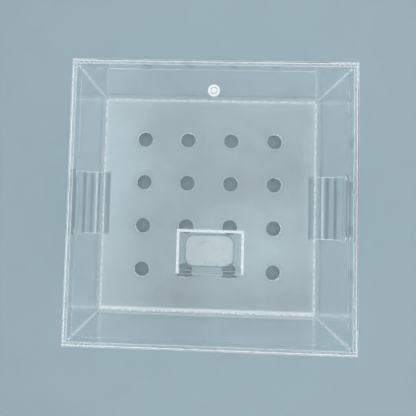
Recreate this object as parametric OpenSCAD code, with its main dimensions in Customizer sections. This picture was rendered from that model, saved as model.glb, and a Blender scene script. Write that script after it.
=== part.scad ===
// Clear acrylic queen cage: a shallow square box with a ventilated floor,
// a lift-off lid with a plugged port, a lift-out feed dish and two side hooks.
// Origin: middle of the footprint, on the surface that the hooks rest on.
// +X to the right hook, +Y to the back wall, +Z up.

/* [Cage] */
// Outer width of the cage, left to right
cage_w = 125; // [110:1:160]
// Outer depth of the cage, front to back
cage_d = 125; // [110:1:160]
// Height from the underside of the floor to the top of the lid
cage_h = 63; // [55:1:90]
// Thickness of the sheet of the floor, the lid and the hooks
sheet_t = 3; // [2:0.5:4]
// Thickness of the sheet of the four walls
wall_t = 1.5; // [1:0.5:4]

/* [Ventilation] */
// Ventilation holes along each side of the grid
vent_count = 4; // [2:1:5]
// Distance between neighbouring hole centres
vent_pitch = 25; // [20:1:26]
// Diameter of one ventilation hole
vent_d = 8.5; // [3:0.5:12]

/* [Lid] */
// Thickness of the locating plate under the lid
locator_t = 2; // [1:0.5:3]
// Gap between the locating plate and each wall
locator_gap = 1.8; // [0.2:0.1:3]
// Distance of the port from the middle of the lid
port_y = 48.7; // [30:0.1:50]
// Diameter of the port drilled through the lid
port_d = 4; // [3:0.1:6]
// Diameter of the plug's head
plug_head_d = 5.4; // [5:0.1:9]
// Height of the plug's head above the lid
plug_head_h = 1.4; // [1:0.1:3]

/* [Hooks] */
// Width of a hook, front to back
hook_w = 36.5; // [20:0.5:60]
// Distance from a side wall to the outside of its hook
hook_reach = 14.5; // [12:0.5:20]
// Height of a hook's upturned leg
hook_h = 20; // [12:1:40]
// Overlap of a hook's flange under the floor
hook_lap = 5; // [4:0.5:8]
// Radius inside the hook's bend
hook_bend_r = 2; // [1:0.5:4]

/* [Feed dish] */
// Outer width of the dish
dish_w = 36; // [32:1:45]
// Outer depth of the dish
dish_d = 25; // [23:1:35]
// Height of the dish's walls
dish_h = 15; // [10:1:25]
// Distance of the dish's middle in front of the cage's middle
dish_offset = 25.8; // [15:0.1:30]
// Distance of the dish's middle to the right of the cage's middle
dish_aside = 1.1; // [-10:0.1:10]
// Thickness of the dish's walls
dish_t = 1.5; // [1:0.25:2]
// Thickness of the dish's base
dish_base_t = 3; // [2.5:0.5:5]
// Depth of the well in the dish's base
well_depth = 1.8; // [1:0.1:2]

/* [Hidden] */

$fn = 64;

// Levels, from the surface that the cage stands on
floor_z = sheet_t;
floor_top = floor_z + sheet_t;
lid_z = floor_z + cage_h - sheet_t;
lid_top = lid_z + sheet_t;
wall_h = lid_z - floor_top;

// Room between the walls
inner_w = cage_w - 2 * wall_t;
inner_d = cage_d - 2 * wall_t;

// Solvent-cement beads
weld = 0.8;
weld_gap = 0.1;
dish_weld = 0.5;

// Plug and its port
plug_clearance = 0.08;
plug_tail = 1;
plug_ring_d = 3.2;
plug_ring_w = 0.5;
plug_ring_depth = 0.6;
plug_edge_r = 0.3;

// Hooks
flange_corner_r = 1.2;
leg_corner_r = 3;
hook_outer_x = cage_w / 2 + hook_reach;
hook_inner_x = cage_w / 2 - hook_lap;
bend_x = hook_outer_x - sheet_t - hook_bend_r;
bend_z = sheet_t + hook_bend_r;

// Feed dish
foot_h = 1;
foot_r = 1.9;
foot_inset = 1.7;
dish_z = floor_top + foot_h;
dish_inner_w = dish_w - 2 * dish_t;
dish_inner_d = dish_d - 2 * dish_t;
well_w = 28.5;
well_d = 18.7;
well_r = 5.7;

CLEAR = [0.78, 0.88, 0.90, 0.35];
CEMENT = [0.92, 0.96, 0.96, 0.6];
WHITE = [0.93, 0.94, 0.93];

// A block centred in X and Y that stands on z = 0
module slab(size) {
    translate([-size.x / 2, -size.y / 2, 0])
        cube(size);
}

// A right-angled bead along +Z whose square corner lies on the Z axis and
// whose two flat sides lie on the +X and +Y sides of it
module bead(leg, length) {
    linear_extrude(length)
        polygon([[0, 0], [leg, 0], [0, leg]]);
}

// A plate with rounded corners, standing on z = 0
module rounded_plate(w, d, h, r) {
    slab([w - 2 * r, d, h]);
    slab([w, d - 2 * r, h]);
    for (x = [-1, 1], y = [-1, 1])
        translate([x * (w / 2 - r), y * (d / 2 - r), 0])
            cylinder(r = r, h = h);
}

module port_bore() {
    translate([0, port_y, lid_z - locator_t - 1])
        cylinder(d = port_d, h = sheet_t + locator_t + 2);
}

// ---- Cage ----

module floor_panel() {
    first = -vent_pitch * (vent_count - 1) / 2;
    color(CLEAR)
        difference() {
            translate([0, 0, floor_z])
                slab([cage_w, cage_d, sheet_t]);
            for (i = [0 : vent_count - 1], j = [0 : vent_count - 1])
                translate([first + i * vent_pitch, first + j * vent_pitch, floor_z - 1])
                    cylinder(d = vent_d, h = sheet_t + 2);
        }
}

// A full-width wall on the front (side = -1) or back (side = 1) edge
module long_wall(side) {
    color(CLEAR)
        translate([0, side * (cage_d - wall_t) / 2, floor_top])
            slab([cage_w, wall_t, wall_h]);
}

// A wall between the long walls, on the left (side = -1) or right (side = 1)
module short_wall(side) {
    color(CLEAR)
        translate([side * (cage_w - wall_t) / 2, 0, floor_top])
            slab([wall_t, inner_d, wall_h]);
}

module front_wall() long_wall(-1);
module back_wall() long_wall(1);
module left_wall() short_wall(-1);
module right_wall() short_wall(1);

// ---- Hooks ----

// Flange under the floor, with its two inner corners rounded
module hook_flange() {
    straight_x = hook_inner_x + flange_corner_r;
    translate([straight_x, -hook_w / 2, 0])
        cube([bend_x - straight_x, hook_w, sheet_t]);
    translate([hook_inner_x, -hook_w / 2 + flange_corner_r, 0])
        cube([flange_corner_r, hook_w - 2 * flange_corner_r, sheet_t]);
    for (y = [-1, 1])
        translate([straight_x, y * (hook_w / 2 - flange_corner_r), 0])
            cylinder(r = flange_corner_r, h = sheet_t);
}

// Quarter bend between the flange and the leg
module hook_bend() {
    translate([bend_x, hook_w / 2, bend_z])
        rotate([90, 0, 0])
            linear_extrude(hook_w)
                intersection() {
                    difference() {
                        circle(r = hook_bend_r + sheet_t);
                        circle(r = hook_bend_r);
                    }
                    translate([0, -hook_bend_r - sheet_t])
                        square(hook_bend_r + sheet_t);
                }
}

// Upturned leg, with its two top corners rounded
module hook_leg() {
    leg_x = hook_outer_x - sheet_t;
    round_z = hook_h - leg_corner_r;
    translate([leg_x, -hook_w / 2, bend_z])
        cube([sheet_t, hook_w, round_z - bend_z]);
    translate([leg_x, -hook_w / 2 + leg_corner_r, round_z])
        cube([sheet_t, hook_w - 2 * leg_corner_r, leg_corner_r]);
    for (y = [-1, 1])
        translate([leg_x, y * (hook_w / 2 - leg_corner_r), round_z])
            rotate([0, 90, 0])
                cylinder(r = leg_corner_r, h = sheet_t);
}

module hook() {
    color(CLEAR)
        union() {
            hook_flange();
            hook_bend();
            hook_leg();
        }
}

module right_hook() hook();
module left_hook() mirror([1, 0, 0]) hook();

// ---- Cement beads of the cage ----

// One upright bead in each inner corner, below the lid's locating plate
module corner_welds() {
    top = lid_z - locator_t - weld_gap;
    color(CEMENT)
        for (turn = [0 : 3])
            rotate([0, 0, 90 * turn])
                translate([-inner_w / 2, -inner_d / 2, floor_top])
                    bead(weld, top - floor_top);
}

// One bead along the foot of each wall, between the upright ones
module floor_welds() {
    length = inner_w - 2 * weld - 2 * weld_gap;
    color(CEMENT)
        for (turn = [0 : 3])
            rotate([0, 0, 90 * turn])
                translate([-length / 2, -inner_d / 2, floor_top])
                    rotate([90, 0, 90])
                        bead(weld, length);
}

// One bead along each flange's inner edge, under the floor
module hook_welds() {
    length = hook_w - 2 * flange_corner_r - 2 * weld_gap;
    color(CEMENT)
        for (side = [0, 1])
            mirror([side, 0, 0])
                translate([hook_inner_x, length / 2, floor_z])
                    rotate([90, 180, 0])
                        bead(weld, length);
}

// ---- Lid ----

module lid_panel() {
    color(CLEAR)
        difference() {
            translate([0, 0, lid_z])
                slab([cage_w, cage_d, sheet_t]);
            port_bore();
        }
}

module lid_locating_plate() {
    color(CLEAR)
        difference() {
            translate([0, 0, lid_z - locator_t])
                slab([inner_w - 2 * locator_gap, inner_d - 2 * locator_gap, locator_t]);
            port_bore();
        }
}

// Turned plug: a stem that fills the port and a head with a ring groove
module port_plug() {
    stem_r = port_d / 2 - plug_clearance;
    head_r = plug_head_d / 2;
    color(WHITE)
        translate([0, port_y, 0])
            difference() {
                union() {
                    translate([0, 0, lid_z - locator_t - plug_tail])
                        cylinder(r = stem_r, h = sheet_t + locator_t + plug_tail);
                    translate([0, 0, lid_top])
                        cylinder(r = head_r, h = plug_head_h - plug_edge_r);
                    translate([0, 0, lid_top + plug_head_h - plug_edge_r])
                        cylinder(r1 = head_r, r2 = head_r - plug_edge_r, h = plug_edge_r);
                }
                translate([0, 0, lid_top + plug_head_h - plug_ring_depth])
                    difference() {
                        cylinder(d = plug_ring_d, h = plug_ring_depth + 1);
                        translate([0, 0, -1])
                            cylinder(d = plug_ring_d - 2 * plug_ring_w, h = plug_ring_depth + 3);
                    }
            }
}

// ---- Feed dish ----

// Moves what follows to the middle of the dish, at the dish's underside
module at_dish() {
    translate([dish_aside, -dish_offset, dish_z])
        children();
}

module dish_base() {
    color(CLEAR)
        at_dish()
            difference() {
                slab([dish_inner_w, dish_inner_d, dish_base_t]);
                translate([0, 0, dish_base_t - well_depth])
                    rounded_plate(well_w, well_d, well_depth + 1, well_r);
            }
}

// A full-width dish wall on the front (side = -1) or back (side = 1)
module dish_long_wall(side) {
    color(CLEAR)
        at_dish()
            translate([0, side * (dish_d - dish_t) / 2, 0])
                slab([dish_w, dish_t, dish_h]);
}

// A dish wall between the long ones, on the left (side = -1) or right (side = 1)
module dish_short_wall(side) {
    color(CLEAR)
        at_dish()
            translate([side * (dish_w - dish_t) / 2, 0, 0])
                slab([dish_t, dish_inner_d, dish_h]);
}

module dish_front_wall() dish_long_wall(-1);
module dish_back_wall() dish_long_wall(1);
module dish_left_wall() dish_short_wall(-1);
module dish_right_wall() dish_short_wall(1);

// Four round feet that hold the dish clear of the cage's floor
module dish_feet() {
    color(CLEAR)
        at_dish()
            for (x = [-1, 1], y = [-1, 1])
                translate([x * (dish_w / 2 - foot_inset), y * (dish_d / 2 - foot_inset), -foot_h])
                    cylinder(r = foot_r, h = foot_h);
}

// Upright beads in the dish's four inner corners, above its base
module dish_welds() {
    color(CEMENT)
        at_dish()
            for (x = [0, 1], y = [0, 1])
                mirror([x, 0, 0])
                    mirror([0, y, 0])
                        translate([-dish_inner_w / 2, -dish_inner_d / 2, dish_base_t])
                            bead(dish_weld, dish_h - dish_base_t);
}

floor_panel();
front_wall();
back_wall();
left_wall();
right_wall();
left_hook();
right_hook();
corner_welds();
floor_welds();
hook_welds();
lid_panel();
lid_locating_plate();
port_plug();
dish_base();
dish_front_wall();
dish_back_wall();
dish_left_wall();
dish_right_wall();
dish_feet();
dish_welds();
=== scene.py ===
"""Looks of the clear acrylic queen cage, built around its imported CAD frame."""
import math

import bmesh
import bpy
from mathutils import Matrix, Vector
from mathutils.geometry import delaunay_2d_cdt


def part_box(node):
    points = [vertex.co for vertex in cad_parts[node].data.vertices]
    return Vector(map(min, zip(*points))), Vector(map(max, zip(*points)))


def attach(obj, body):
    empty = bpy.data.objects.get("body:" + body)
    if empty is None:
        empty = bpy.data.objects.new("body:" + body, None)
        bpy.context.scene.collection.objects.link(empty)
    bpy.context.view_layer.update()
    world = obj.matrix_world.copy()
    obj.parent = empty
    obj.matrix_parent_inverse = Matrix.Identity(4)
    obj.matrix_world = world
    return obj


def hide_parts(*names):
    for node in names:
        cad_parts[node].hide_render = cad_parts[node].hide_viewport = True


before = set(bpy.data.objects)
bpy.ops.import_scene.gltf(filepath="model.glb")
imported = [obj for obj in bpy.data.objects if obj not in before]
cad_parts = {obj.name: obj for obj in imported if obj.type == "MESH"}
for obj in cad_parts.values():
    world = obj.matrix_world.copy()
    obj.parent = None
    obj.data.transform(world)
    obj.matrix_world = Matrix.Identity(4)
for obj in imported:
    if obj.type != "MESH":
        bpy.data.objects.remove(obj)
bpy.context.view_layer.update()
MM = 0.001

# ---------------------------------------------------------------- geometry

SEAM = 0.02 * MM        # each piece stops this far short of its CAD faces
CHAMFER = 0.15 * MM     # broken edge of a cut sheet
ARC_STEPS = 24          # steps in a quarter turn

# What each face of a piece is, which is also its place in the list of materials
PANE, EDGE, HOLE, UNDER, RIM, FILM, JOINT, BEND, MARK, WALL = range(10)

INNER_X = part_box("right_wall")[0].x      # inner faces of the walls
INNER_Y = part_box("back_wall")[0].y
FLOOR_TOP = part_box("floor_panel")[1].z


def circle(cx, cy, r, steps=4 * ARC_STEPS):
    """Points around a circle, counter-clockwise."""
    turn = 2 * math.pi / steps
    return [(cx + r * math.cos(i * turn), cy + r * math.sin(i * turn)) for i in range(steps)]


def rounded_rectangle(cx, cy, w, d, r, steps=ARC_STEPS):
    """Points around a rectangle with round corners, counter-clockwise."""
    points = []
    for quarter, (sx, sy) in enumerate([(1, 1), (-1, 1), (-1, -1), (1, -1)]):
        mx, my = cx + sx * (w / 2 - r), cy + sy * (d / 2 - r)
        for i in range(steps + 1):
            a = (quarter + i / steps) * math.pi / 2
            points.append((mx + r * math.cos(a), my + r * math.sin(a)))
    return points


def rectangle(x0, y0, x1, y1):
    """The four corners of a rectangle, counter-clockwise."""
    return [(x0, y0), (x1, y0), (x1, y1), (x0, y1)]


def grown(loop, by):
    """A convex loop moved outwards by a distance, or inwards if it is negative."""
    out = []
    count = len(loop)
    for i, p in enumerate(loop):
        a, b = Vector(loop[i - 1]), Vector(loop[(i + 1) % count])
        here = Vector(p)
        before, after = (here - a).normalized(), (b - here).normalized()
        normal_a = Vector((before.y, -before.x))
        normal_b = Vector((after.y, -after.x))
        middle = normal_a + normal_b
        out.append(tuple(here + middle * (2 * by / max(middle.length_squared, 1e-9))))
    return out


def ring(bm, loop, w, place):
    return [bm.verts.new(place(u, v, w)) for u, v in loop]


def join_rings(bm, rings, material):
    """Quads between rings of the same length."""
    for lower, upper in zip(rings, rings[1:]):
        count = len(lower)
        for i in range(count):
            j = (i + 1) % count
            face = bm.faces.new((lower[i], lower[j], upper[j], upper[i]))
            face.material_index = material


def fill(bm, rings, loops, material, guides=(), w=0, place=None, cuts=()):
    """Flat triangles between an outer loop and the holes in it.

    guides are further loops that triangles may not cross, and cuts are pairs of the outer loop's
    points to join by an edge. material is an index, or a function of a triangle's middle."""
    points, edges, verts = [], list(cuts), []
    loops = list(loops) + list(guides)
    rings = list(rings) + [ring(bm, loop, w, place) for loop in guides]
    for loop, corners in zip(loops, rings):
        first = len(points)
        points += [Vector(p) for p in loop]
        verts += corners
        edges += [(first + i, first + (i + 1) % len(loop)) for i in range(len(loop))]
    made = delaunay_2d_cdt(points, edges, [], 1, 1e-9)
    holes = [[Vector(p) for p in loop] for loop in loops[1:len(loops) - len(guides)]]
    for triangle in made[2]:
        middle = sum((made[0][i] for i in triangle), Vector((0, 0))) / 3
        if any(inside(middle, hole) for hole in holes):
            continue
        face = bm.faces.new([verts[made[3][i][0]] for i in triangle])
        face.material_index = material(middle) if callable(material) else material


def inside(p, loop):
    """True if p lies in the loop."""
    crossings = 0
    for i, a in enumerate(loop):
        b = loop[i - 1]
        if (a.y > p.y) != (b.y > p.y):
            crossings += p.x < (b.x - a.x) * (p.y - a.y) / (b.y - a.y) + a.x
    return crossings % 2 == 1


def join_sides(bm, rings, materials):
    """As join_rings, with a material for each side of the loop."""
    for lower, upper in zip(rings, rings[1:]):
        count = len(lower)
        for i in range(count):
            j = (i + 1) % count
            bm.faces.new((lower[i], lower[j], upper[j], upper[i])).material_index = materials[i]


def plate(
    bm, outline, holes, w0, w1, place, sides=None, low=PANE, high=PANE, guides=((), ()), cuts=(), rim=RIM
):
    """A flat plate from w0 to w1 with broken edges.

    sides gives the material of each side, and low and high those of its two faces."""
    levels = [(w0, -CHAMFER), (w0 + CHAMFER, 0), (w1 - CHAMFER, 0), (w1, -CHAMFER)]
    loops = [[grown(outline, by) for _, by in levels]]
    loops += [[grown(hole, -by) for _, by in levels] for hole in holes]
    rings = [[ring(bm, loop, w, place) for loop, (w, _) in zip(of, levels)] for of in loops]
    sides = sides or [EDGE] * len(outline)
    rims = [PANE if side == JOINT else rim for side in sides]
    join_sides(bm, rings[0][:2], rims)
    join_sides(bm, rings[0][1:3], sides)
    join_sides(bm, rings[0][2:], rims)
    for of in rings[1:]:
        join_rings(bm, of[:2], RIM)
        join_rings(bm, of[1:3], HOLE)
        join_rings(bm, of[2:], RIM)
    for level, material, lines in ((0, low, guides[0]), (3, high, guides[1])):
        faces = [of[level] for of in rings]
        fill(bm, faces, [of[level] for of in loops], material, lines, levels[level][0], place, cuts)


def finish_mesh(name, bm, materials, body, replaces=(), smooth=30):
    """Turns a bmesh into a piece that rides on a body."""
    bmesh.ops.recalc_face_normals(bm, faces=bm.faces)
    mesh = bpy.data.meshes.new(name)
    bm.to_mesh(mesh)
    bm.free()
    for material in materials:
        mesh.materials.append(material)
    mesh.shade_smooth()
    mesh.set_sharp_from_angle(angle=math.radians(smooth))
    piece = bpy.data.objects.new(name, mesh)
    bpy.context.scene.collection.objects.link(piece)
    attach(piece, body)
    if replaces:
        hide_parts(*replaces)
    return piece


def flat(u, v, w):
    return (u, v, w)


def facing_y(u, v, w):
    return (u, w, v)


def facing_x(u, v, w):
    return (w, u, v)


def span(node, axes):
    """The node's box as (u0, v0, w0), (u1, v1, w1) in that order of axes, less the seam."""
    low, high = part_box(node)
    return [low[a] + SEAM for a in axes], [high[a] - SEAM for a in axes]


# ---------------------------------------------------------------- materials

class Nodes:
    """A material's node tree, with short calls for what repeats."""

    def __init__(self, name):
        self.material = bpy.data.materials.new(name)
        self.material.use_nodes = True
        self.tree = self.material.node_tree
        self.tree.nodes.clear()
        self.output = self.tree.nodes.new("ShaderNodeOutputMaterial")

    def add(self, kind, **settings):
        node = self.tree.nodes.new(kind)
        for key, value in settings.items():
            if hasattr(node, key):
                setattr(node, key, value)
            else:
                node.inputs[key.replace("_", " ")].default_value = value
        return node

    def link(self, a, b):
        self.tree.links.new(a, b)

    def place(self):
        return self.add("ShaderNodeTexCoord").outputs["Object"]

    def noise(self, scale, detail=4.0, roughness=0.5, vector=None):
        node = self.add("ShaderNodeTexNoise")
        node.inputs["Scale"].default_value = scale
        node.inputs["Detail"].default_value = detail
        node.inputs["Roughness"].default_value = roughness
        self.link(vector or self.place(), node.inputs["Vector"])
        return node.outputs["Fac"]

    def stretched(self, scale):
        node = self.add("ShaderNodeMapping")
        node.inputs["Scale"].default_value = scale
        self.link(self.place(), node.inputs["Vector"])
        return node.outputs["Vector"]

    def spread(self, value, low, high, to_low, to_high):
        node = self.add("ShaderNodeMapRange")
        for key, number in (("From Min", low), ("From Max", high), ("To Min", to_low), ("To Max", to_high)):
            node.inputs[key].default_value = number
        self.link(value, node.inputs["Value"])
        return node.outputs["Result"]

    def math(self, operation, a, b=None):
        node = self.add("ShaderNodeMath", operation=operation)
        for socket, value in zip(node.inputs, (a, b)):
            if isinstance(value, (int, float)):
                socket.default_value = value
            elif value is not None:
                self.link(value, socket)
        return node.outputs[0]

    def bump(self, height, strength, distance):
        node = self.add("ShaderNodeBump")
        node.inputs["Strength"].default_value = strength
        node.inputs["Distance"].default_value = distance
        self.link(height, node.inputs["Height"])
        return node.outputs["Normal"]

    def glass(self, tint, ior=1.49):
        shader = self.add("ShaderNodeBsdfPrincipled")
        shader.inputs["Base Color"].default_value = (*tint, 1)
        shader.inputs["IOR"].default_value = ior
        shader.inputs["Transmission Weight"].default_value = 1
        return shader

    def let_light_through(self, shader, tint, varied=None):
        """Lets lamps shine through to what the glass encloses.

        varied is a colour that replaces the tint."""
        path = self.add("ShaderNodeLightPath")
        either = self.add("ShaderNodeMath", operation="MAXIMUM")
        self.link(path.outputs["Is Shadow Ray"], either.inputs[0])
        self.link(path.outputs["Is Diffuse Ray"], either.inputs[1])
        clear = self.add("ShaderNodeBsdfTransparent")
        clear.inputs["Color"].default_value = (*tint, 1)
        if varied:
            self.link(varied, clear.inputs["Color"])
        mix = self.add("ShaderNodeMixShader")
        self.link(either.outputs[0], mix.inputs[0])
        self.link(shader, mix.inputs[1])
        self.link(clear.outputs[0], mix.inputs[2])
        self.link(mix.outputs[0], self.output.inputs["Surface"])


SHADE = (0.95, 0.96, 0.963)     # what one face of the sheet passes of a lamp's light


def clear_sheet():
    """Polished cast sheet: glossy and smooth, its tint a little uneven."""
    n = Nodes("clear_sheet")
    shader = n.glass((0.985, 0.995, 0.995))
    cast = n.add("ShaderNodeMix", data_type="RGBA")
    cast.inputs["A"].default_value = (0.938, 0.964, 0.970, 1)
    cast.inputs["B"].default_value = (0.965, 0.985, 0.990, 1)
    n.link(n.spread(n.noise(35, 5, 0.6), 0.3, 0.7, 0.0, 1.0), cast.inputs["Factor"])
    n.link(cast.outputs["Result"], shader.inputs["Base Color"])
    shader.inputs["Roughness"].default_value = 0
    n.let_light_through(shader.outputs[0], SHADE)
    return n.material


def whitened(n, shader, share, colour=(0.92, 0.95, 0.95), through=0.5):
    """Mixes a glass shader with the white scatter of a sawn or sanded surface."""
    veil = n.add("ShaderNodeBsdfDiffuse")
    veil.inputs["Color"].default_value = (*colour, 1)
    glow = n.add("ShaderNodeBsdfTranslucent")
    glow.inputs["Color"].default_value = (*colour, 1)
    both = n.add("ShaderNodeMixShader")
    both.inputs[0].default_value = through
    n.link(veil.outputs[0], both.inputs[1])
    n.link(glow.outputs[0], both.inputs[2])
    haze = n.add("ShaderNodeMixShader")
    n.link(share, haze.inputs[0])
    n.link(shader.outputs[0], haze.inputs[1])
    n.link(both.outputs[0], haze.inputs[2])
    return haze.outputs[0]


def cut_edge():
    """Flame-polished edge: clear and glossy, its tint deeper in places."""
    n = Nodes("cut_edge")
    shader = n.glass((0.97, 0.99, 0.99))
    deep = n.add("ShaderNodeMix", data_type="RGBA")
    deep.inputs["A"].default_value = (0.86, 0.93, 0.95, 1)
    deep.inputs["B"].default_value = (0.98, 1.0, 1.0, 1)
    n.link(n.spread(n.noise(90, 3, 0.5), 0.3, 0.7, 0.0, 1.0), deep.inputs["Factor"])
    n.link(deep.outputs["Result"], shader.inputs["Base Color"])
    shader.inputs["Roughness"].default_value = 0
    n.let_light_through(shader.outputs[0], SHADE)
    return n.material


def broken_edge():
    """Scraped corner of a sheet: finely scratched, so it catches light."""
    n = Nodes("broken_edge")
    shader = n.glass((0.98, 0.99, 0.99))
    nicks = n.noise(420, 4, 0.7)
    shader.inputs["Roughness"].default_value = 0.2
    share = n.spread(nicks, 0.35, 0.65, 0.6, 1.0)
    n.let_light_through(whitened(n, shader, share, (0.97, 0.98, 0.98), 0.1), SHADE)
    return n.material


def bend_mark_and_edge_shade():
    """Edge of the zone heated for the bend: the sheet is denser-looking there, in fine streaks. The same
    dark glass also covers the strips' sides as painted shade.
    """
    n = Nodes("bend_mark_and_edge_shade")
    shader = n.glass((0.7, 0.8, 0.83))
    streak = n.noise(1, 3, 0.6, n.stretched((500, 30, 500)))
    tone = n.add("ShaderNodeMix", data_type="RGBA")
    tone.inputs["A"].default_value = (0.12, 0.22, 0.27, 1)
    tone.inputs["B"].default_value = (0.36, 0.50, 0.55, 1)
    n.link(n.spread(streak, 0.3, 0.7, 0.0, 1.0), tone.inputs["Factor"])
    n.link(tone.outputs["Result"], shader.inputs["Base Color"])
    n.let_light_through(shader.outputs[0], SHADE)
    return n.material


def milled(name, tint, low, high, relief):
    """Milled face: frosted by the cutter, with its fine round-and-round marks."""
    n = Nodes(name)
    shader = n.glass(tint)
    marks = n.noise(260, 4, 0.6)
    n.link(n.spread(marks, 0.3, 0.7, 0.25, 0.4), shader.inputs["Roughness"])
    n.link(n.bump(marks, relief, 0.03 * MM), shader.inputs["Normal"])
    share = n.spread(marks, 0.3, 0.7, low, high)
    n.let_light_through(whitened(n, shader, share, (0.97, 0.98, 0.97), 0.15), SHADE)
    return n.material


def wall_foot():
    """A wall's inner face, clear: a white bloom of cement vapour near its foot ends in a dark line."""
    n = Nodes("wall_foot")
    shader = n.glass((0.985, 0.995, 0.995))
    split = n.add("ShaderNodeSeparateXYZ")
    n.link(n.place(), split.inputs[0])
    z = split.outputs["Z"]
    cloud = n.noise(90, 4, 0.6)
    rising = n.spread(z, FLOOR_TOP + 8.4 * MM, FLOOR_TOP + 8.8 * MM, 0.0, 1.0)
    falling = n.spread(z, FLOOR_TOP + 9.8 * MM, FLOOR_TOP + 10.2 * MM, 1.0, 0.0)
    line = n.math("MULTIPLY", rising, falling)
    tone = n.add("ShaderNodeMix", data_type="RGBA")
    tone.inputs["A"].default_value = (0.90, 0.95, 0.96, 1)
    tone.inputs["B"].default_value = (0.30, 0.40, 0.44, 1)
    n.link(n.math("MULTIPLY", line, n.spread(cloud, 0.3, 0.7, 0.7, 1.0)), tone.inputs["Factor"])
    n.link(tone.outputs["Result"], shader.inputs["Base Color"])
    shader.inputs["Roughness"].default_value = 0
    band = n.spread(z, FLOOR_TOP + 8.0 * MM, FLOOR_TOP + 8.6 * MM, 0.20, 0.0)
    foot = n.spread(z, FLOOR_TOP + 1.5 * MM, FLOOR_TOP + 3.2 * MM, 0.25, 0.0)
    share = n.math("MULTIPLY", n.math("ADD", band, foot), n.spread(cloud, 0.3, 0.7, 0.7, 1.2))
    n.let_light_through(whitened(n, shader, share, (0.97, 0.98, 0.98), 0.1), SHADE)
    return n.material


def floor_bloom_and_painted_light():
    """The floor's upper face: clear, with a faint white bloom of cement vapour along the feet of the walls,
    and a strong white band along the front wall's foot that is painted light.
    """
    n = Nodes("floor_bloom_and_painted_light")
    shader = n.glass((0.985, 0.995, 0.995))
    split = n.add("ShaderNodeSeparateXYZ")
    n.link(n.place(), split.inputs[0])
    x, y = split.outputs["X"], split.outputs["Y"]
    reach = n.math("MAXIMUM", n.math("ABSOLUTE", x), y)
    sides = n.spread(reach, INNER_X - 2.0 * MM, INNER_X - 0.9 * MM, 0.0, 0.15)
    # The front band is painted light: a white veil four times as strong as the bloom at the other walls.
    front = n.spread(y, 2.5 * MM - INNER_Y, 1.5 * MM - INNER_Y, 0.0, 0.6)
    cloud = n.spread(n.noise(110, 4, 0.6), 0.3, 0.7, 0.6, 1.0)
    share = n.math("MULTIPLY", n.math("MAXIMUM", sides, front), cloud)
    n.let_light_through(whitened(n, shader, share, (0.97, 0.98, 0.98), 0.1), SHADE)
    return n.material


def sawn_edge():
    """Edge left as sawn and only scraped: whitish, with fine strokes."""
    n = Nodes("sawn_edge")
    shader = n.glass((0.98, 0.99, 0.99))
    strokes = n.noise(300, 4, 0.65)
    n.link(n.spread(strokes, 0.3, 0.7, 0.1, 0.4), shader.inputs["Roughness"])
    n.link(n.bump(strokes, 0.1, 0.02 * MM), shader.inputs["Normal"])
    share = n.spread(strokes, 0.3, 0.7, 0.5, 0.9)
    n.let_light_through(whitened(n, shader, share, (0.86, 0.90, 0.91), 0.15), SHADE)
    return n.material


def bent_zone():
    """Heat-bent part of a strip: fine lines of crazing along the bend."""
    n = Nodes("bent_zone")
    shader = n.glass((0.97, 0.995, 0.995))
    lines = n.noise(1, 3, 0.6, n.stretched((620, 4, 160)))
    shader.inputs["Roughness"].default_value = 0
    n.link(n.bump(lines, 0.3, 0.05 * MM), shader.inputs["Normal"])
    share = n.spread(lines, 0.58, 0.66, 0.0, 0.85)
    n.let_light_through(whitened(n, shader, share, (0.97, 0.98, 0.98), 0.1), SHADE)
    return n.material


def cement_film(name, low, high, bubbly):
    """Cement between two sheets: no gap is left to reflect in, only bubbles and a white bloom."""
    n = Nodes(name)
    clear = n.add("ShaderNodeBsdfTransparent")
    bloom = n.noise(160, 5, 0.7)
    bubbles = n.add("ShaderNodeTexVoronoi")
    bubbles.inputs["Scale"].default_value = 420
    n.link(n.place(), bubbles.inputs["Vector"])
    spots = n.spread(bubbles.outputs["Distance"], 0.12, 0.2, bubbly, 0.0)
    share = n.math("ADD", n.spread(bloom, 0.35, 0.7, low, high), spots)
    share.node.use_clamp = True
    veil = n.add("ShaderNodeBsdfDiffuse")
    veil.inputs["Color"].default_value = (0.95, 0.97, 0.97, 1)
    mix = n.add("ShaderNodeMixShader")
    n.link(share, mix.inputs[0])
    n.link(clear.outputs[0], mix.inputs[1])
    n.link(veil.outputs[0], mix.inputs[2])
    n.link(mix.outputs[0], n.output.inputs["Surface"])
    return n.material


def drilled_hole():
    """Drilled wall: frosted, so that it stops most lamp light, with the drill's turning marks."""
    n = Nodes("drilled_hole")
    shader = n.glass((0.97, 0.99, 0.99))
    marks = n.noise(40, 2, 0.5, n.stretched((1, 1, 60)))
    n.link(n.spread(marks, 0.2, 0.8, 0.15, 0.35), shader.inputs["Roughness"])
    n.link(n.bump(marks, 0.2, 0.03 * MM), shader.inputs["Normal"])
    veiled = whitened(n, shader, n.spread(marks, 0.3, 0.7, 0.1, 0.3))
    n.let_light_through(veiled, (0.26, 0.29, 0.30))
    return n.material


def patch(n, x, y, r, most):
    """A round soft patch, in object coordinates."""
    away = n.add("ShaderNodeVectorMath", operation="DISTANCE")
    n.link(n.place(), away.inputs[0])
    away.inputs[1].default_value = (x, y, 0)
    return n.spread(away.outputs["Value"], 0.2 * r, 1.2 * r, most, 0.0)


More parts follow.
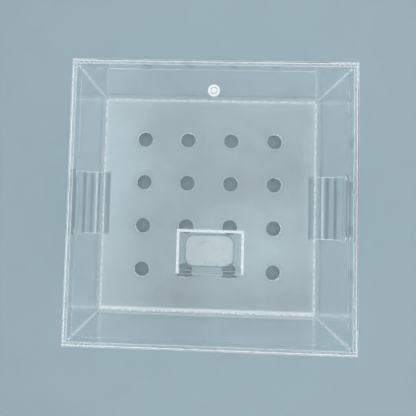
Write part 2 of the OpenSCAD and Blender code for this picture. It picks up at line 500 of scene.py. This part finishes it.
def hazy_underside():
    """Matt face under the floor: much of the light is scattered. Its haze carries painted light: a round
    painted glow right of the middle and towards the front, a painted lighter band along the left side, and
    painted glints in a grainy zone near the front.
    """
    n = Nodes("hazy_underside")
    shader = n.glass((0.93, 0.985, 0.995))
    cloud = n.noise(18, 4, 0.55)
    grain = n.noise(1600, 2, 0.6)
    n.link(n.spread(cloud, 0.3, 0.7, 0.25, 0.3), shader.inputs["Roughness"])
    split = n.add("ShaderNodeSeparateXYZ")
    n.link(n.place(), split.inputs[0])
    # Grainy zone near the front: painted glints of the front lamp's light, made by thinning and speckling
    # the haze.
    near = n.spread(split.outputs["Y"], -0.030, -0.055, 0.0, 1.0)
    near.node.clamp = True
    painted_glints = n.math("MULTIPLY", near, n.spread(grain, 0.35, 0.65, -0.22, 0.06))
    # Painted light: a lighter band along the left side and a round painted glow right of the middle, both
    # made by thickening the white haze.
    painted_left_band = n.spread(split.outputs["X"], -0.030, -0.052, 0.0, 0.16)
    painted_light = n.math("ADD", patch(n, 0.026, -0.024, 0.034, 0.13), painted_left_band)
    share = n.math("ADD", n.spread(cloud, 0.3, 0.7, 0.42, 0.56), n.math("ADD", painted_glints, painted_light))
    share.node.use_clamp = True
    passed = n.spread(cloud, 0.3, 0.7, 0.15, 0.25)
    tint = n.add("ShaderNodeVectorMath", operation="SCALE")
    tint.inputs[0].default_value = (0.82, 1.0, 1.05)
    n.link(passed, tint.inputs["Scale"])
    n.let_light_through(whitened(n, shader, share, (0.80, 0.92, 0.95), 0.3), (1, 1, 1), tint.outputs[0])
    return n.material


def cement(name, colour, low, high):
    """Cured solvent cement: clear but cloudy, with an uneven skin."""
    n = Nodes(name)
    shader = n.glass((0.98, 1.0, 1.0), 1.47)
    cloud = n.noise(500, 4, 0.7)
    n.link(n.spread(cloud, 0.35, 0.65, 0.05, 0.45), shader.inputs["Roughness"])
    share = n.spread(cloud, 0.35, 0.65, low, high)
    n.let_light_through(whitened(n, shader, share, colour, 0.25), SHADE)
    return n.material


def white_plastic():
    """Moulded white plastic with a satin skin."""
    n = Nodes("white_plastic")
    shader = n.add("ShaderNodeBsdfPrincipled")
    shader.inputs["IOR"].default_value = 1.5
    shader.inputs["Subsurface Weight"].default_value = 0.2
    shader.inputs["Subsurface Radius"].default_value = (1 * MM, 1 * MM, 1 * MM)
    mottle = n.noise(900, 3, 0.6)
    ramp = n.add("ShaderNodeMix", data_type="RGBA")
    ramp.inputs["A"].default_value = (0.58, 0.62, 0.63, 1)
    ramp.inputs["B"].default_value = (0.68, 0.71, 0.71, 1)
    n.link(mottle, ramp.inputs["Factor"])
    n.link(ramp.outputs["Result"], shader.inputs["Base Color"])
    n.link(n.spread(mottle, 0.3, 0.7, 0.35, 0.55), shader.inputs["Roughness"])
    n.link(n.bump(mottle, 0.15, 0.05 * MM), shader.inputs["Normal"])
    n.link(shader.outputs[0], n.output.inputs["Surface"])
    return n.material


CLEAR = clear_sheet()
CUT = cut_edge()
DRILLED = drilled_hole()
HAZY = hazy_underside()
CEMENT = cement("cement", (0.80, 0.86, 0.88), 0.4, 0.8)
CORNER_CEMENT = cement("corner_cement", (0.93, 0.97, 1.0), 0.6, 1.0)
WHITE = white_plastic()
SCRAPED = broken_edge()
SAWN = sawn_edge()
BOND = cement_film("clear_bond", 0.0, 0.02, 0.0)
JOINED = cement_film("bloomed_bond", 0.0, 0.14, 0.12)
SHEET = [CLEAR, CUT, DRILLED, HAZY, SCRAPED, BOND, JOINED, CLEAR, CLEAR, wall_foot()]
LID = [CLEAR, CUT, CLEAR, CLEAR, CLEAR, BOND, BOND]
FLOOR = [floor_bloom_and_painted_light(), CUT, DRILLED, HAZY, SCRAPED, BOND, JOINED]
SMALL = [CLEAR, SAWN, CLEAR, CLEAR, SCRAPED, BOND, JOINED, bent_zone(), bend_mark_and_edge_shade()]
# The strips' sides and ends (EDGE) take the dark bend-mark glass: painted shade for the dark lines along
# their edges.
HOOK = [CLEAR, SMALL[MARK], CLEAR, CLEAR, SCRAPED, BOND, JOINED, SMALL[BEND], SMALL[MARK]]
FRONT = [CLEAR, CUT, CLEAR, CLEAR, CUT, BOND, JOINED]
MILLED_WALL = milled("milled_wall", (0.50, 0.62, 0.66), 0.0, 0.05, 0.15)
MILLED_FLOOR = milled("milled_floor", (0.97, 0.99, 0.99), 0.22, 0.36, 0.03)
BASE = [CLEAR, CUT, MILLED_WALL, CLEAR, SCRAPED, MILLED_FLOOR]


# ---------------------------------------------------------------- cage

def flat_sheet(node, body, axes, place, materials=SHEET, holes=(), **faces):
    """A plate that fills a node's box, with round holes given as (x, y, r)."""
    low, high = span(node, axes)
    bm = bmesh.new()
    outline = rectangle(low[0], low[1], high[0], high[1])
    loops = [circle(x, y, r + SEAM) for x, y, r in holes]
    plate(bm, outline, loops, low[2], high[2], place, **faces)
    return finish_mesh("vis_" + node, bm, materials, body, [node])


VENTS = 4
VENT_R = 4.25 * MM
VENT_PITCH = 25 * MM


def vent_places():
    first = -VENT_PITCH * (VENTS - 1) / 2
    along = [first + i * VENT_PITCH for i in range(VENTS)]
    return [(x, y, VENT_R) for x in along for y in along]


ROOM = rectangle(-INNER_X, -INNER_Y, INNER_X, INNER_Y)


def floor_panel():
    """Floor with its ventilation holes, cemented to the walls above and the flanges below."""
    flanges = []
    for side in (-1, 1):
        low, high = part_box("right_hook")
        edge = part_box("floor_panel")[1].x - CHAMFER * 2
        x0, x1 = sorted((side * low.x, side * edge))
        flanges.append(rectangle(x0, low.y, x1, high.y))
    lapped = [[Vector(p) for p in loop] for loop in flanges]
    room = [Vector(p) for p in ROOM]
    flat_sheet(
        "floor_panel", "cage", (0, 1, 2), flat, FLOOR,
        holes=vent_places(), guides=(flanges, [ROOM]), rim=EDGE,
        low=lambda p: FILM if any(inside(p, loop) for loop in lapped) else UNDER,
        high=lambda p: PANE if inside(p, room) else JOINT,
    )


def long_wall(node, side):
    """A wall whose two ends overlap the side walls, which are cemented to its inner face."""
    low, high = span(node, (0, 2, 1))
    x, (u0, v0), (u1, v1) = INNER_X, low[:2], high[:2]
    outline = [(u0, v0), (-x, v0), (x, v0), (u1, v0), (u1, v1), (x, v1), (-x, v1), (u0, v1)]
    faces = {"low" if side > 0 else "high": lambda p: JOINT if abs(p.x) > x else WALL}
    bm = bmesh.new()
    sides = [JOINT] * 3 + [EDGE] * 5
    plate(bm, outline, (), low[2], high[2], facing_y, sides, cuts=[(1, 6), (2, 5)], **faces)
    finish_mesh("vis_" + node, bm, SHEET, "cage", [node])


floor_panel()
long_wall("front_wall", -1)
long_wall("back_wall", 1)
for wall, inner in (("left_wall", "high"), ("right_wall", "low")):
    flat_sheet(wall, "cage", (1, 2, 0), facing_x, sides=[JOINT, JOINT, EDGE, JOINT], **{inner: WALL})


def strip_half_width(along, length, half, r_start, r_end):
    """Half the width of a strip with round corners, at a distance along it."""
    for at, r in ((along, r_start), (length - along, r_end)):
        if at < r:
            return half - r + math.sqrt(max(r * r - (r - at) ** 2, 0))
    return half


ROUNDING = 0.5 * MM      # broken edges of the strips


def hook_marks(start_x, leg_start):
    """Marks left by line bending, as first and last distance along the strip, and what shows."""
    on_flange = [(66.9, 67.3, RIM), (68.9, 70.6, MARK)]      # distance from the cage's middle
    on_leg = [(8.6, 9.0, RIM), (14.4, 14.7, RIM)]           # height
    marks = [(a * MM - start_x, b * MM - start_x, shown) for a, b, shown in on_flange]
    return marks + [(a * MM + leg_start, b * MM + leg_start, shown) for a, b, shown in on_leg]


def hook_path(low, high, side):
    """Measures of a strip's path: where it starts, and the lengths of its three stretches."""
    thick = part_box("floor_panel")[0].z - low.z - 2 * SEAM
    bend_r = 2 * MM + SEAM                   # inside the bend
    inner_x = low.x if side > 0 else -high.x
    outer_x = (high.x if side > 0 else -low.x) - SEAM
    start_x = inner_x + SEAM
    turn_x = outer_x - thick - bend_r
    turn_z = low.z + SEAM + thick + bend_r
    middle_r = bend_r + thick / 2
    return {
        "thick": thick, "start_x": start_x, "turn_x": turn_x, "turn_z": turn_z, "middle_r": middle_r,
        "middle_z": low.z + SEAM + thick / 2, "flange": turn_x - start_x,
        "bend": middle_r * math.pi / 2, "leg": high.z - SEAM - turn_z,
    }


def hook_point(path, s):
    """Middle of the strip at a distance along it, and the way that its upper face points."""
    r = path["middle_r"]
    if s <= path["flange"]:
        return path["start_x"] + s, path["middle_z"], 0, 1
    if s <= path["flange"] + path["bend"]:
        a = (s - path["flange"]) / r
        x, z = path["turn_x"] + r * math.sin(a), path["turn_z"] - r * math.cos(a)
        return x, z, -math.sin(a), math.cos(a)
    return path["turn_x"] + r, path["turn_z"] + s - path["flange"] - path["bend"], -1, 0


def hook_stations(path, lap, marks, r_leg, r_flange, steps=12):
    """Distances along the strip at which it has a section: corners, overlap, marks and bend."""
    flange, bend = path["flange"], path["bend"]
    length = flange + bend + path["leg"]
    quarter = [i / steps * math.pi / 2 for i in range(steps + 1)]
    stations = [r_flange * (1 - math.cos(a)) for a in quarter] + [lap]
    stations += [s for first, last, _ in marks[:2] for s in (first, last)]
    stations += [flange + bend * i / ARC_STEPS for i in range(ARC_STEPS + 1)]
    stations += [s for first, last, _ in marks[2:] for s in (first, last)]
    return stations + [length - r_leg * (1 - math.sin(a)) for a in quarter]


def hook_section(bm, path, s, w, side):
    """The eight corners of the strip's section, w to each side of its middle."""
    x, z, nx, nz = hook_point(path, s)
    half_thick = path["thick"] / 2
    c, k = w - ROUNDING, 1 - ROUNDING / half_thick
    corners = [(-c, -1), (c, -1), (w, -k), (w, k), (c, 1), (-c, 1), (-w, k), (-w, -k)]
    return [bm.verts.new((side * (x + k * nx * half_thick), y, z + k * nz * half_thick)) for y, k in corners]


def hook(side):
    """A strip bent into a J: flange under the floor, round bend, upturned leg."""
    node = "right_hook" if side > 0 else "left_hook"
    low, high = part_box(node)
    path = hook_path(low, high, side)
    flange, bend = path["flange"], path["bend"]
    r_flange, r_leg = 1.2 * MM, 3 * MM
    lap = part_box("floor_panel")[1].x - path["start_x"]     # cemented under the floor as far as here
    marks = hook_marks(path["start_x"], flange + bend - path["turn_z"])
    middle_mark = (flange + bend * 0.3, flange + bend * 0.85, MARK)
    stations = hook_stations(path, lap, marks, r_leg, r_flange)
    length = flange + bend + path["leg"]
    half = (high.y - low.y) / 2 - SEAM
    bm = bmesh.new()
    widths = [strip_half_width(s, length, half, r_flange, r_leg) for s in stations]
    rings = [hook_section(bm, path, s, w, side) for s, w in zip(stations, widths)]
    for station, a, b in zip(stations, rings, rings[1:]):
        upper, lower = (BEND, BEND) if station >= lap - SEAM else (FILM, PANE)
        for first, last, shown in marks + [middle_mark]:
            if first - SEAM / 2 < station < last - SEAM / 2:
                upper, lower = shown, shown
        for i, look in enumerate((lower, RIM, EDGE, RIM, upper, RIM, EDGE, RIM)):
            j = (i + 1) % 8
            bm.faces.new((a[i], a[j], b[j], b[i])).material_index = look
    for cap in (rings[0], rings[-1]):
        bm.faces.new(cap).material_index = EDGE
    return finish_mesh("vis_" + node, bm, HOOK, "cage", [node])


for side in (-1, 1):
    hook(side)

# ---------------------------------------------------------------- lid

plug_low, plug_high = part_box("port_plug")
PORT = ((plug_low.x + plug_high.x) / 2, (plug_low.y + plug_high.y) / 2, 2 * MM)
locator_low, locator_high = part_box("lid_locating_plate")
LOCATOR = rectangle(locator_low.x, locator_low.y, locator_high.x, locator_high.y)
BONDED = [Vector(p) for p in LOCATOR]
flat_sheet(
    "lid_panel", "lid", (0, 1, 2), flat, SHEET, holes=[PORT], guides=([LOCATOR], []),
    low=lambda p: FILM if inside(p, BONDED) else PANE,
)
flat_sheet("lid_locating_plate", "lid", (0, 1, 2), flat, LID, holes=[PORT], high=FILM)

# ---------------------------------------------------------------- dish

for wall in ("dish_front_wall", "dish_back_wall"):
    flat_sheet(wall, "dish", (0, 2, 1), facing_y, FRONT if "front" in wall else SMALL)
for wall in ("dish_left_wall", "dish_right_wall"):
    flat_sheet(wall, "dish", (1, 2, 0), facing_x, SMALL)


def dish_base():
    """Base plate with a milled well whose floor meets its wall in a round fillet."""
    low, high = span("dish_base", (0, 1, 2))
    cx, cy = (low[0] + high[0]) / 2, (low[1] + high[1]) / 2
    well_w, well_d, well_r, depth, fillet = 28.5 * MM, 18.7 * MM, 5.7 * MM, 1.8 * MM, 1.0 * MM
    bm = bmesh.new()
    outline = rectangle(low[0], low[1], high[0], high[1])
    sides = [(low[2], -CHAMFER), (low[2] + CHAMFER, 0), (high[2] - CHAMFER, 0), (high[2], -CHAMFER)]
    outer = [ring(bm, grown(outline, by), w, flat) for w, by in sides]
    join_rings(bm, outer, EDGE)
    fill(bm, [outer[0]], [grown(outline, -CHAMFER)], PANE)
    levels = [(high[2], CHAMFER), (high[2] - CHAMFER, 0)]
    for i in range(9):
        a = i / 8 * math.pi / 2
        levels.append((high[2] - depth + fillet * (1 - math.sin(a)), -fillet * (1 - math.cos(a))))
    loops = [rounded_rectangle(cx, cy, well_w + 2 * by, well_d + 2 * by, well_r + by) for _, by in levels]
    rings = [ring(bm, loop, w, flat) for loop, (w, _) in zip(loops, levels)]
    join_rings(bm, rings, HOLE)
    fill(bm, [outer[3], rings[0]], [grown(outline, -CHAMFER), loops[0]], PANE)
    fill(bm, [rings[-1]], [loops[-1]], FILM)
    return finish_mesh("vis_dish_base", bm, BASE, "dish", ["dish_base"])


dish_base()

# ---------------------------------------------------------------- plug

def plug_profile():
    """Half of the plug's outline, as (radius, height), from the foot of the stem to the top."""
    head_r = (plug_high.x - plug_low.x) / 2
    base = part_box("lid_panel")[1].z + SEAM
    foot, top = plug_low.z, plug_high.z
    stem_r = PORT[2] - 0.08 * MM
    tip = 0.3 * MM                           # chamfer at the foot of the stem
    edge = 0.4 * MM                          # rounding of the head
    groove_r, island_r, deep = 1.6 * MM, 1.1 * MM, 0.55 * MM
    soft = 0.08 * MM                         # chamfer at the ring groove
    points = [(0, foot), (stem_r - tip, foot), (stem_r, foot + tip), (stem_r, base), (head_r, base)]
    for i in range(9):
        a = i / 8 * math.pi / 2
        points.append((head_r - edge + edge * math.cos(a), top - edge + edge * math.sin(a)))
    points += [(groove_r + soft, top), (groove_r, top - soft), (groove_r, top - deep)]
    points += [(island_r, top - deep), (island_r, top - soft), (island_r - soft, top), (0, top)]
    return points


def plug():
    """Turned plug with a ring groove in its head."""
    steps = 64
    bm = bmesh.new()
    rings = []
    for r, z in plug_profile():
        around = circle(PORT[0], PORT[1], r, steps) if r else [PORT[:2]]
        rings.append([bm.verts.new((x, y, z)) for x, y in around])
    for a, b in zip(rings, rings[1:]):
        for i in range(steps):
            j = (i + 1) % steps
            corners = [of[k % len(of)] for of, k in ((a, i), (a, j), (b, j), (b, i))]
            bm.faces.new(list(dict.fromkeys(corners)))
    return finish_mesh("vis_port_plug", bm, [WHITE], "plug", ["port_plug"])


plug()

for node in ("corner_welds", "floor_welds", "hook_welds", "dish_welds", "dish_feet"):
    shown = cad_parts[node]
    shown.data.materials.clear()
    shown.data.materials.append({"dish_feet": CLEAR, "corner_welds": CORNER_CEMENT}.get(node, CEMENT))

# ---------------------------------------------------------------- stage

def paper():
    """Plain pale blue-grey backdrop paper with a fine tooth."""
    n = Nodes("backdrop_paper")
    shader = n.add("ShaderNodeBsdfPrincipled")
    shader.inputs["Specular IOR Level"].default_value = 0.2
    shader.inputs["Roughness"].default_value = 0.85
    shade = n.spread(n.noise(60, 5, 0.6), 0.3, 0.7, 0.98, 1.02)
    mix = n.add("ShaderNodeVectorMath", operation="SCALE")
    mix.inputs[0].default_value = PAPER
    n.link(shade, mix.inputs["Scale"])
    n.link(mix.outputs[0], shader.inputs["Base Color"])
    n.link(n.bump(n.noise(900, 3, 0.6), 0.1, 0.1 * MM), shader.inputs["Normal"])
    n.link(shader.outputs[0], n.output.inputs["Surface"])
    return n.material


PAPER = (0.278, 0.357, 0.39)
bpy.ops.mesh.primitive_plane_add(size=12, location=(0, 0, 0))
floor = bpy.context.object
floor.name = "stage_floor"
floor.data.materials.append(paper())


def studio_world():
    """Soft light from all round, dimmer towards the horizon and straight overhead."""
    world = bpy.data.worlds.new("studio")
    bpy.context.scene.world = world
    world.use_nodes = True
    tree = world.node_tree
    sky = tree.nodes["Background"]
    place = tree.nodes.new("ShaderNodeTexCoord")
    split = tree.nodes.new("ShaderNodeSeparateXYZ")
    tree.links.new(place.outputs["Generated"], split.inputs[0])
    rise = tree.nodes.new("ShaderNodeMapRange")
    rise.interpolation_type = "SMOOTHSTEP"
    for key, value in (("From Min", 0.0), ("From Max", 0.6), ("To Min", WORLD_SIDE), ("To Max", WORLD_TOP)):
        rise.inputs[key].default_value = value
    tree.links.new(split.outputs["Z"], rise.inputs["Value"])
    cap = tree.nodes.new("ShaderNodeMapRange")
    for key, value in (("From Min", 0.86), ("From Max", 0.97), ("To Min", 1.0), ("To Max", WORLD_CAP)):
        cap.inputs[key].default_value = value
    tree.links.new(split.outputs["Z"], cap.inputs["Value"])
    both = tree.nodes.new("ShaderNodeMath")
    both.operation = "MULTIPLY"
    tree.links.new(rise.outputs["Result"], both.inputs[0])
    tree.links.new(cap.outputs["Result"], both.inputs[1])
    tree.links.new(both.outputs[0], sky.inputs["Strength"])
    sky.inputs["Color"].default_value = (0.93, 0.97, 1.0, 1)


WORLD_SIDE = 0.3      # at the horizon
WORLD_TOP = 1.2
WORLD_CAP = 0.45      # share that is left straight overhead
studio_world()


def soft_light(name, at, size, towards, power):
    """A long soft lamp that is not seen in the object's reflections."""
    light = bpy.data.lights.new(name, "AREA")
    light.shape = "RECTANGLE"
    light.size, light.size_y = size
    light.energy = power
    lamp = bpy.data.objects.new(name, light)
    lamp.location = at
    lamp.rotation_euler = (Vector(towards) - Vector(at)).to_track_quat("-Z", "Y").to_euler()
    lamp.visible_camera = False
    lamp.visible_glossy = False
    lamp.visible_transmission = False
    bpy.context.scene.collection.objects.link(lamp)


STRIP_X = 0.016
STRIP_Z = 0.216
FRONT_STRIP_Y = -0.1056
BACK_STRIP_Y = 0.128
STRIP_SIZE = (0.205, 0.012)
STRIP_POWER = 0.12
for name, y in (("front_strip_light", FRONT_STRIP_Y), ("back_strip_light", BACK_STRIP_Y)):
    soft_light(name, (STRIP_X, y, STRIP_Z), STRIP_SIZE, (STRIP_X, y * 0.3, 0), STRIP_POWER)

camera_data = bpy.data.cameras.new("camera")
camera = bpy.data.objects.new("camera", camera_data)
camera.location = (-0.0047, -0.0032, 0.2367)
camera.rotation_euler = [math.radians(a) for a in (2.87, 1.78, 1.5)]
camera_data.sensor_width = 36
camera_data.lens = 34.4
camera_data.shift_x = 0.0488
camera_data.shift_y = -0.0416
camera_data.clip_start = 0.001
bpy.context.scene.collection.objects.link(camera)
scene = bpy.context.scene
scene.camera = camera
scene.view_settings.view_transform = "Standard"
scene.cycles.max_bounces = 24
scene.cycles.transmission_bounces = 20
scene.cycles.glossy_bounces = 10
scene.cycles.transparent_max_bounces = 40
scene.cycles.diffuse_bounces = 4
